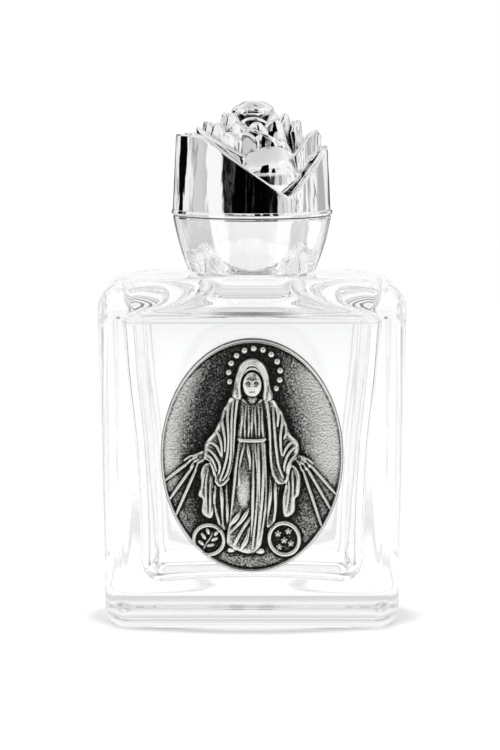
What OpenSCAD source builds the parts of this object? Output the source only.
// Small glass bottle for holy water, with a silver screw cap in the form of a rose
// and an oval relief medal on its front face.
// Millimetres. +Z is up, the front face looks along -Y, and the origin is the
// middle of the foot, on the surface that the bottle stands on.

/* [Glass body] */
// Width across the shoulder
body_w = 50; // [44:0.5:60]
// Width across the foot
foot_w = 48; // [42:0.5:60]
// Depth from front face to back face
body_d = 29; // [26:0.5:36]
// Height of the shoulder above the foot
body_h = 57.2; // [50:0.1:80]
// Rounding of every outer edge
edge_r = 4; // [2.5:0.1:5]
// Rise of the shoulder from its edge to the neck
shoulder_rise = 0.3; // [0.1:0.1:1]
// Glass under the hollow
base_t = 8; // [5:0.1:12]
// Glass beside the hollow at the shoulder
side_t = 5.4; // [3.5:0.1:8]
// Glass beside the hollow at the foot
foot_side_t = 6.4; // [3.5:0.1:9]
// Glass in front of and behind the hollow
face_t = 4.2; // [3:0.1:6]
// Glass above the hollow
shoulder_t = 5; // [3.5:0.1:8]
// Rounding of the hollow
cavity_r = 4.5; // [3:0.1:6]
// Rise of the hollow's floor at its middle
floor_rise = 1.6; // [0.5:0.1:3]
// Depth of the recess under the foot
punt_depth = 0.8; // [0.3:0.1:2]
// Width of the rim that the foot stands on
stand_w = 3.5; // [2:0.1:5]

/* [Neck] */
// Diameter of the neck under its thread
neck_d = 15.6; // [14.5:0.1:16]
// Diameter over the neck's thread
thread_d = 17.6; // [17:0.1:18]
// Diameter of the pouring bore
bore_d = 10; // [6:0.1:12]
// Height of the neck above the shoulder
neck_h = 9.4; // [9:0.1:12]
// Rise of the thread in one turn
thread_pitch = 3.175; // [2.8:0.005:4]
// Turns of the thread on the glass
thread_turns = 1.25; // [1:0.05:1.5]
// Height of the start of the thread above the shoulder
thread_start = 2.6; // [2.2:0.1:3]
// Width of a thread ridge where it leaves its wall
thread_root_w = 1.7; // [1.2:0.05:1.9]
// Width of a thread ridge at its crest
thread_crest_w = 0.7; // [0.4:0.05:1]
// Radius of the hollow curve where the neck leaves the shoulder
neck_root_r = 1.1; // [0.5:0.1:1.3]

/* [Cap insert and seal] */
// Gap between the cap's foot and the shoulder
cap_gap = 0.4; // [0.3:0.05:1]
// Radial gap between a thread crest and the wall it faces
thread_clearance = 0.25; // [0.15:0.05:0.4]
// Wall of the threaded insert
insert_t = 1; // [0.8:0.1:1.4]
// Top plate of the threaded insert
insert_top_t = 1.2; // [0.8:0.1:2]
// Turns of the thread inside the insert
insert_turns = 1; // [0.75:0.05:1.2]
// Thickness of the sealing liner
liner_t = 1; // [0.6:0.1:1.6]
// Gap between pieces that are pressed or glued together
fit_gap = 0.1; // [0.05:0.01:0.15]
// Number of ribs that stop the insert from turning in the skirt
rib_count = 6; // [4:1:8]
// Width of such a rib
rib_w = 1.2; // [0.8:0.1:1.6]
// Height of such a rib above the insert's wall
rib_h = 0.5; // [0.3:0.1:0.6]
// Height of the ribs' foot above the ledge that the insert stands on
rib_lift = 1.4; // [1:0.1:1.8]

/* [Cap skirt] */
// Diameter of the skirt at its foot
skirt_foot_d = 21; // [20.8:0.1:23]
// Diameter of the skirt at its top
skirt_top_d = 26.2; // [26:0.1:29]
// Height of the skirt
skirt_h = 9.4; // [9:0.1:11]
// How far the skirt's side bulges beyond a straight line
skirt_bulge = 0.3; // [0.1:0.05:0.6]
// Height of the ledge that carries the insert, above the skirt's foot
ledge_h = 2.2; // [2:0.1:2.6]
// Depth of the counterbore that takes the petal shell
counterbore_h = 2.5; // [1.5:0.1:3]
// Wall of the skirt beside that counterbore
skirt_lip_t = 1.2; // [0.9:0.1:1.4]

/* [Petal shell] */
// Diameter over the bead at the foot of the shell
bead_d = 26.6; // [26.2:0.1:29]
// Height of that bead
bead_h = 0.8; // [0.5:0.1:1.2]
// Diameter of the shell just above the bead
shell_d = 26.2; // [25.8:0.1:28.6]
// Diameter of the shell at the petals' top
shell_top_d = 25; // [24.5:0.1:28]
// Height of the shell above the skirt
shell_h = 13.3; // [12:0.1:16]
// Wall of the shell
shell_t = 1.4; // [1:0.1:1.6]
// Thickness of the deck that carries the rose heart
deck_t = 1.2; // [1:0.1:2]
// Sideways place of the notch between two petals
notch_x = 6; // [3:0.1:8]
// Height of the notch's foot above the deck
notch_lift = 0.2; // [0.1:0.1:2]
// Slope of the long petal edge left of the notch, in degrees
notch_left_slope = 35; // [30:1:50]
// Slope of the short petal edge right of the notch, in degrees
notch_right_slope = 49; // [40:1:60]
// Turn from one notch to the next, in degrees
notch_turn = 120; // [110:1:125]

/* [Rose heart] */
// Gap between the heart's widest petals and the shell round them
heart_gap = 0.4; // [0.3:0.05:1]
// Height of the heart above the deck
heart_h = 15.4; // [13:0.1:18]
// Diameter of the peg that locates the heart in the deck
peg_d = 5; // [3:0.1:7]
// Thickness of a petal
petal_t = 0.8; // [0.6:0.05:1.2]

/* [Medal] */
// Width of the medal
medal_w = 29.5; // [24:0.1:34]
// Height of the medal
medal_h = 38.1; // [30:0.1:44]
// Height of the medal's middle above the foot
medal_z = 29.2; // [27:0.1:32]
// Thickness of the medal at its field
medal_t = 1.6; // [1.6:0.1:2.5]
// Height of the figure above the field
relief_h = 1.4; // [0.8:0.1:1.6]
// Width of the medal's bevelled rim
medal_bevel = 0.7; // [0.4:0.1:1.2]
// Thickness of the adhesive pad
pad_t = 0.4; // [0.2:0.1:0.8]
// Margin of bare medal round the adhesive pad
pad_margin = 1.5; // [0.5:0.1:3]
// Width of a ray of light on the medal
ray_w = 0.6; // [0.4:0.05:0.9]
// Diameter of a star in the halo
star_d = 1; // [0.7:0.05:1.3]
// Number of stars in the halo
star_count = 12; // [8:1:14]

/* [Hidden] */

// Facets
$fn = 96;
ball_fn = 40;
relief_fn = 10;
thread_steps = 36;
curve_steps = 8;

// Overlap that joins shapes of one piece, and reach of a cutter past what it cuts
sink = 0.3;
past = 1;

// Heights, from the foot up
neck_z = body_h + shoulder_rise;
lip_z = neck_z + neck_h;
cap_z = neck_z + cap_gap;
ledge_z = cap_z + ledge_h;
rib_z = ledge_z + rib_lift;
skirt_top_z = cap_z + skirt_h;
counterbore_z = skirt_top_z - counterbore_h;
liner_z = lip_z;
insert_roof_z = liner_z + liner_t;
insert_top_z = insert_roof_z + insert_top_t;
deck_z = max(insert_top_z, skirt_top_z) + fit_gap;
deck_top_z = deck_z + deck_t;
shell_top_z = skirt_top_z + shell_h;
petal_foot_z = deck_top_z + petal_t / 2;
petal_h = heart_h - petal_t / 2;

// Radii of the cap's pieces, from the thread out
insert_in_r = thread_d / 2 + thread_clearance;
insert_r = insert_in_r + insert_t;
insert_crest_r = neck_d / 2 + thread_clearance;
sleeve_r = insert_r + fit_gap;
counterbore_r = skirt_top_d / 2 - skirt_lip_t;
spigot_r = counterbore_r - fit_gap;
shell_in_r = shell_d / 2 - shell_t;
shell_top_in_r = shell_top_d / 2 - shell_t;
liner_r = insert_in_r - thread_clearance;
heart_r = shell_top_in_r - heart_gap;

// The hollow
cavity_top_w = body_w - 2 * side_t;
cavity_foot_w = foot_w - 2 * foot_side_t;
cavity_d = body_d - 2 * face_t;
cavity_top_z = body_h - shoulder_t;

// Width and height of the oval that the figure on the medal is drawn in
figure_w = 29;
figure_h = 37.2;

// Petals of the heart, one row for each ring from the outside in: number of petals, then as shares
// of the heart's radius the foot's radius, the rim's radius and the swell of the belly, then the half
// width in degrees, the share of the heart's height, and the first petal's angle
petal_rings = [
    [5, 0.87, 0.91, 0.05, 42, 0.64, 22],
    [6, 0.65, 0.72, 0.04, 36, 0.79, 2],
    [5, 0.44, 0.49, 0.03, 44, 0.90, 35],
    [3, 0.24, 0.10, 0.11, 72, 1.00, 0]
];
// How far a petal's sides stay below its rim, how far it laps over its neighbour, how far its rim rolls
petal_droop = 0.36;
petal_lap = 0.4;
petal_roll = 0.4;

// A ball whose flats reach its true radius
module ball(r, facets = ball_fn) {
    sphere(r / cos(180 / facets), $fn = facets);
}

// A block with rounded edges, wider at its top than at its foot
module rounded_block(top_w, low_w, depth, low_z, high_z, r) {
    hull()
        for (sx = [-1, 1], sy = [-1, 1]) {
            translate([sx * (top_w / 2 - r), sy * (depth / 2 - r), high_z - r])
                ball(r);
            translate([sx * (low_w / 2 - r), sy * (depth / 2 - r), low_z + r])
                ball(r);
        }
}

// A plate with rounded corners
module rounded_plate(w, d, r, t) {
    linear_extrude(t)
        hull()
            for (sx = [-1, 1], sy = [-1, 1])
                translate([sx * (w / 2 - r), sy * (d / 2 - r)])
                    circle(r, $fn = 32);
}

// One ring of a thread's ridge: root, crest, crest, root
function thread_ring(i, count, root_r, crest_r, pitch, start_z) =
    let (angle = i * 360 / thread_steps,
         middle_z = start_z + i * pitch / thread_steps,
         fade = min(1, (i + 0.4) / 5, (count - i + 0.4) / 5),
         crest = root_r + (crest_r - root_r) * fade)
    [for (p = [[root_r, -thread_root_w], [crest, -thread_crest_w], [crest, thread_crest_w], [root_r, thread_root_w]])
        [p[0] * cos(angle), p[0] * sin(angle), middle_z + p[1] / 2]];

// A right-hand thread ridge that fades out at both ends
module thread_ridge(root_r, crest_r, pitch, turns, start_z) {
    count = round(turns * thread_steps);
    points = [for (i = [0:count]) each thread_ring(i, count, root_r, crest_r, pitch, start_z)];
    sides = [for (i = [0:count - 1], j = [0:3], half = [0, 1])
        let (a = 4 * i + j, b = 4 * i + (j + 1) % 4)
        half == 0 ? [a, a + 4, b] : [b, a + 4, b + 4]];
    ends = [[0, 1, 2], [0, 2, 3], [4 * count + 2, 4 * count + 1, 4 * count], [4 * count + 3, 4 * count + 2, 4 * count]];
    faces = concat(sides, ends);
    outward = crest_r > root_r;
    polyhedron(points, outward ? [for (f = faces) [f[2], f[1], f[0]]] : faces);
}

// The neck with its hollow root, seen in section
module neck_solid() {
    rotate_extrude()
        difference() {
            translate([0, body_h - edge_r])
                square([neck_d / 2 + neck_root_r, edge_r + shoulder_rise + neck_root_r]);
            translate([neck_d / 2 + neck_root_r, neck_z + neck_root_r])
                circle(neck_root_r);
        }
    translate([0, 0, body_h - edge_r])
        cylinder(d = neck_d, h = lip_z - body_h + edge_r);
}

// The rise of the shoulder towards the neck
module shoulder_crown() {
    crown_r = body_d / 2 - edge_r;
    translate([0, 0, body_h - sink])
        cylinder(r1 = crown_r, r2 = neck_d / 2 + neck_root_r, h = shoulder_rise + sink);
}

// The hollow, whose floor rises in an arch towards its middle
module cavity() {
    arch_r = (pow(cavity_foot_w / 2, 2) + pow(floor_rise, 2)) / (2 * floor_rise);
    difference() {
        rounded_block(cavity_top_w, cavity_foot_w, cavity_d, base_t, cavity_top_z, cavity_r);
        translate([0, 0, base_t + floor_rise - arch_r])
            rotate([90, 0, 0])
                cylinder(r = arch_r, h = body_d, center = true, $fn = 360);
    }
}

// The shallow recess inside the rim that the foot stands on
module punt() {
    margin = 2 * (edge_r + stand_w);
    translate([0, 0, -past])
        rounded_plate(foot_w - margin, body_d - margin, edge_r, past + punt_depth);
}

module glass_bottle() {
    color([0.93, 0.95, 0.95, 0.4])
        difference() {
            union() {
                rounded_block(body_w, foot_w, body_d, 0, body_h, edge_r);
                shoulder_crown();
                neck_solid();
                thread_ridge(neck_d / 2 - sink, thread_d / 2, thread_pitch, thread_turns, neck_z + thread_start);
            }
            cavity();
            translate([0, 0, cavity_top_z - cavity_r])
                cylinder(d = bore_d, h = lip_z - cavity_top_z + cavity_r + past);
            punt();
        }
}

// Puts a relief, drawn flat with its height along +Z, on the front face of the bottle
module on_front(depth) {
    translate([0, -body_d / 2 - depth, medal_z])
        rotate([90, 0, 0])
            children();
}

// An oval plate
module oval(w, h, t) {
    linear_extrude(t)
        resize([w, h])
            circle(d = w, $fn = 72);
}

// A ball of the relief, flattened so that it stands h above the field
module relief_ball(p, r, h) {
    translate([p[0], p[1], medal_t])
        scale([1, 1, h / r])
            ball(r, relief_fn);
}

// A rounded ridge through points of the relief; rise is its share of the full relief
module fold(points, r, rise) {
    for (i = [0:len(points) - 2])
        hull()
            for (p = [points[i], points[i + 1]])
                relief_ball(p, r, relief_h * rise);
}

// A rounded mass that spans balls of the relief, each given as x, y and radius
module mass(balls, rise) {
    largest = max([for (b = balls) b[2]]);
    hull()
        for (b = balls)
            relief_ball(b, b[2], relief_h * rise * b[2] / largest);
}

// An oval ring that stands on the relief
module oval_ring(centre, long_r, short_r, tilt, r, rise) {
    step = 360 / 20;
    points = [for (a = [0:step:360])
        let (x = long_r * cos(a), y = short_r * sin(a))
        [centre[0] + x * cos(tilt) - y * sin(tilt), centre[1] + x * sin(tilt) + y * cos(tilt)]];
    fold(points, r, rise);
}

// Head under its hood: a plain oval face with no features
module relief_head() {
    mass([[0.1, 13.2, 2.5], [-2.4, 10.2, 1.2], [2.6, 10.2, 1.2]], 0.6);
    fold([[-2.5, 10.2], [-2.1, 12.8], [-1.2, 14.6], [0.1, 15.2], [1.4, 14.6], [2.3, 12.8], [2.7, 10.2]], 0.55, 0.75);
    mass([[0.1, 12.4, 1.6], [0.1, 11.1, 1.2]], 1);
}

// Robe, mantle and sleeves
module relief_robe() {
    mass([[-2.6, 8.8, 1.0], [2.8, 8.8, 1.0], [-2.4, 2.8, 1.0], [2.3, 2.8, 1.0]], 0.55);
    mass([[-2.2, 2.8, 1.2], [2.1, 2.8, 1.2], [-3.6, -13.2, 1.2], [2.6, -13.0, 1.2], [-0.4, -14.8, 0.8]], 0.6);
    mass([[-3.6, -2.0, 0.6], [-6.2, -5.0, 0.5], [-5.6, -12.0, 0.5], [-3.6, -12.4, 0.6]], 0.35);
    mass([[2.8, -1.5, 0.6], [4.8, -4.0, 0.5], [4.4, -11.0, 0.5], [2.8, -12.0, 0.6]], 0.35);
    for (arm = [[-1, 0], [1, 0.8]]) {
        side = arm[0];
        inward = arm[1];
        mass([[side * 3.2, 8.2, 1.1], [side * (6.8 - inward), 1.6, 1.0], [side * 4.6, -2.8, 0.8],
              [side * 3.0, 3.0, 0.8]], 0.55);
        fold([[side * 3.6, 9.0], [side * (5.6 - inward), 5.4], [side * (7.4 - inward), 1.4],
              [side * (6.4 - inward), -1.2], [side * 5.0, -3.9], [side * 4.0, -2.6], [side * 3.0, 1.6],
              [side * 2.7, 8.4]], 0.5, 0.62);
        fold([[side * 4.6, 6.0], [side * 6.0, 1.4], [side * 4.9, -2.2]], 0.6, 0.72);
    }
    for (x = [-1.7, -0.7, 0.4, 1.5])
        fold([[x * 0.8, 8.2], [x, 3.2], [x * 1.2, -4.0], [x * 1.3 - 0.3, -14.4]], 0.45, 0.78);
    fold([[-2.4, 2.8], [2.3, 2.8]], 0.5, 0.85);
    fold([[-1.4, 9.2], [0.1, 8.7], [1.6, 9.2]], 0.4, 0.8);
    for (side = [-1, 1])
        mass([[side * 2.0 - 1.0, -15.0, 0.7], [side * 2.4 - 1.0, -15.3, 0.5]], 0.4);
}

// Open hands with the cloth that hangs from the cuffs
module relief_hands() {
    mass([[-7.2, 0.6, 0.9], [-8.6, -0.1, 0.7], [-10.6, -0.7, 0.4]], 0.6);
    mass([[6.6, 0.3, 0.9], [8.0, -0.4, 0.7], [9.7, -1.1, 0.4]], 0.6);
    mass([[-7.6, -1.6, 0.5], [-8.4, -5.0, 0.7], [-7.6, -7.4, 0.6], [-6.8, -10.0, 0.4]], 0.4);
    mass([[6.6, -1.8, 0.5], [7.2, -4.2, 0.7], [5.9, -7.4, 0.6], [5.2, -9.6, 0.4]], 0.4);
}

// Rays of light that fall from the hands
module relief_rays() {
    rays = [
        [[-10.0, -1.0], [-13.4, -3.9]], [[-9.6, -1.4], [-12.7, -7.0]], [[-8.9, -1.8], [-11.6, -9.6]],
        [[9.4, -1.6], [12.7, -5.6]], [[8.8, -2.0], [11.9, -8.2]], [[8.1, -2.4], [10.7, -10.7]]
    ];
    for (ray = rays)
        fold(ray, ray_w / 2, 0.22);
}

// Arc of stars about the head
module relief_stars() {
    first_angle = 197;
    span = 231;
    halo_r = 4.15;
    for (i = [0:star_count - 1]) {
        angle = first_angle - i * span / (star_count - 1);
        relief_ball([0.4 + halo_r * cos(angle), 13.3 + halo_r * sin(angle)], star_d / 2, relief_h * 0.35);
    }
}

// The pair of small ovals at the feet, each with a plain sprig
module relief_ovals() {
    for (badge = [[[-7.0, -13.2], 125], [[5.1, -13.3], 58]]) {
        centre = badge[0];
        tilt = badge[1];
        along = [cos(tilt), sin(tilt)];
        across = [along[1], -along[0]];
        oval_ring(centre, 2.5, 2.1, tilt, 0.42, 0.3);
        fold([centre - 1.3 * along, centre + 1.2 * along], 0.35, 0.22);
        for (step = [-0.7, 0.1, 0.9])
            fold([centre + step * along + 0.2 * across, centre + (step + 0.3) * along + 0.9 * across], 0.3, 0.22);
    }
}

module medal() {
    color([0.58, 0.57, 0.55])
        on_front(pad_t) {
            hull() {
                oval(medal_w, medal_h, medal_t / 2);
                oval(medal_w - 2 * medal_bevel, medal_h - 2 * medal_bevel, medal_t);
            }
            scale([medal_w / figure_w, medal_h / figure_h, 1]) {
                relief_head();
                relief_robe();
                relief_hands();
                relief_rays();
                relief_stars();
                relief_ovals();
            }
        }
}

module medal_adhesive() {
    color([0.85, 0.85, 0.8])
        on_front(0)
            oval(medal_w - 2 * pad_margin, medal_h - 2 * pad_margin, pad_t);
}

module seal_liner() {
    color([0.95, 0.95, 0.92])
        translate([0, 0, liner_z])
            cylinder(r = liner_r, h = liner_t);
}

// Ribs, or the slots that they run in, round the insert, a quarter step off the axes
module ribs(gap, low_z, high_z) {
    for (i = [0:rib_count - 1])
        rotate((i + 0.25) * 360 / rib_count)
            translate([0, -rib_w / 2 - gap, low_z])
                cube([insert_r + rib_h + gap, rib_w + 2 * gap, high_z - low_z]);
}

module threaded_insert() {
    color([0.9, 0.9, 0.88])
        union() {
            difference() {
                union() {
                    translate([0, 0, ledge_z])
                        cylinder(r = insert_r, h = insert_top_z - ledge_z);
                    ribs(0, rib_z, counterbore_z);
                }
                translate([0, 0, ledge_z - past])
                    cylinder(r = insert_in_r, h = insert_roof_z - ledge_z + past);
            }
            thread_ridge(insert_in_r + sink, insert_crest_r, thread_pitch, insert_turns,
                         neck_z + thread_start + thread_pitch / 2);
        }
}

// Outline of the skirt's side, from foot to top
function skirt_side(t) = [
    skirt_foot_d / 2 + (skirt_top_d - skirt_foot_d) / 2 * t + skirt_bulge * sin(180 * t),
    cap_z + skirt_h * t
];

module cap_skirt() {
    foot_in_r = insert_in_r + fit_gap;
    color([0.86, 0.86, 0.88])
        difference() {
            rotate_extrude()
                polygon(concat(
                    [[foot_in_r, cap_z]],
                    [for (i = [0:curve_steps]) skirt_side(i / curve_steps)],
                    [[counterbore_r, skirt_top_z], [counterbore_r, counterbore_z], [sleeve_r, counterbore_z],
                     [sleeve_r, ledge_z], [foot_in_r, ledge_z]]
                ));
            ribs(fit_gap, rib_z - fit_gap, counterbore_z + fit_gap);
        }
}

// Everything above two neighbouring petal edges, on the front side
module notch_cutter() {
    foot_z = deck_top_z + notch_lift;
    rise = shell_top_z - foot_z + past;
    translate([0, 0, foot_z])
        rotate([90, 0, 0])
            linear_extrude(bead_d)
                polygon([
                    [notch_x, 0],
                    [notch_x + rise / tan(notch_right_slope), rise],
                    [notch_x - rise / tan(notch_left_slope), rise]
                ]);
}

module petal_shell() {
    color([0.86, 0.86, 0.88])
        difference() {
            rotate_extrude()
                polygon([
                    [sleeve_r, counterbore_z + fit_gap], [spigot_r, counterbore_z + fit_gap],
                    [spigot_r, skirt_top_z], [bead_d / 2 - bead_h / 4, skirt_top_z],
                    [bead_d / 2, skirt_top_z + bead_h / 4], [bead_d / 2, skirt_top_z + 3 * bead_h / 4],
                    [shell_d / 2, skirt_top_z + bead_h], [shell_top_d / 2, shell_top_z],
                    [shell_top_in_r, shell_top_z], [shell_in_r, deck_top_z], [peg_d / 2 + fit_gap, deck_top_z],
                    [peg_d / 2 + fit_gap, deck_z], [sleeve_r, deck_z]
                ]);
            for (turn = [0, notch_turn])
                rotate(turn)
                    notch_cutter();
        }
}

// A point of a petal: across runs from -1 to 1 over its width, up from 0 to 1, inward is its depth
function petal_point(ring, across, up, inward) =
    let (turn = ring[4] * across * (0.85 + 0.15 * up),
         lean = (ring[2] - ring[1]) * up + ring[3] * sin(180 * up),
         r = heart_r * (ring[1] + lean) + petal_lap * across + petal_roll * ring[2] * pow(up, 4) - inward,
         z = petal_h * ring[5] * up * (1 - petal_droop * across * across))
    [max(r, 0.3) * sin(turn), -max(r, 0.3) * cos(turn), petal_foot_z + z];

// A closed, curved petal
module petal(ring) {
    column_count = 8;
    row_count = 4;
    row = column_count + 1;
    sheet = row * (row_count + 1);
    points = [for (inward = [0, petal_t], v = [0:row_count], u = [0:column_count])
        petal_point(ring, 2 * u / column_count - 1, v / row_count, inward)];
    skins = [for (v = [0:row_count - 1], u = [0:column_count - 1], half = [0, 1])
        let (a = v * row + u, b = a + 1, c = a + row, d = c + 1)
        half == 0 ? [a, c, b] : [b, c, d]];
    rims = concat(
        [for (u = [0:column_count - 1]) [u, u + 1]],
        [for (v = [0:row_count - 1]) [v * row + column_count, (v + 1) * row + column_count]],
        [for (u = [column_count:-1:1]) [row_count * row + u, row_count * row + u - 1]],
        [for (v = [row_count:-1:1]) [v * row, (v - 1) * row]]
    );
    polyhedron(points, concat(
        skins,
        [for (f = skins) [f[2] + sheet, f[1] + sheet, f[0] + sheet]],
        [for (e = rims, half = [0, 1])
            half == 0 ? [e[0], e[1], e[1] + sheet] : [e[0], e[1] + sheet, e[0] + sheet]]
    ));
}

// The web that carries a petal from the core
module petal_web(ring) {
    hull() {
        translate([0, petal_t - heart_r * ring[1], petal_foot_z + petal_t])
            ball(petal_t, relief_fn);
        translate([0, 0, petal_foot_z + petal_h * ring[5] / 2])
            ball(petal_t, relief_fn);
    }
}

module rose_heart() {
    core_h = petal_h * petal_rings[1][5];
    color([0.86, 0.86, 0.88])
        union() {
            translate([0, 0, deck_z + fit_gap])
                cylinder(d = peg_d, h = deck_t, $fn = 32);
            translate([0, 0, deck_top_z])
                cylinder(r = heart_r, h = petal_t, $fn = 64);
            translate([0, 0, petal_foot_z])
                cylinder(r1 = heart_r * petal_rings[0][1], r2 = heart_r * petal_rings[3][2], h = core_h, $fn = 32);
            for (ring = petal_rings, i = [0:ring[0] - 1])
                rotate(ring[6] + i * 360 / ring[0]) {
                    petal(ring);
                    petal_web(ring);
                }
        }
}

glass_bottle();
medal();
medal_adhesive();
seal_liner();
threaded_insert();
cap_skirt();
petal_shell();
rose_heart();
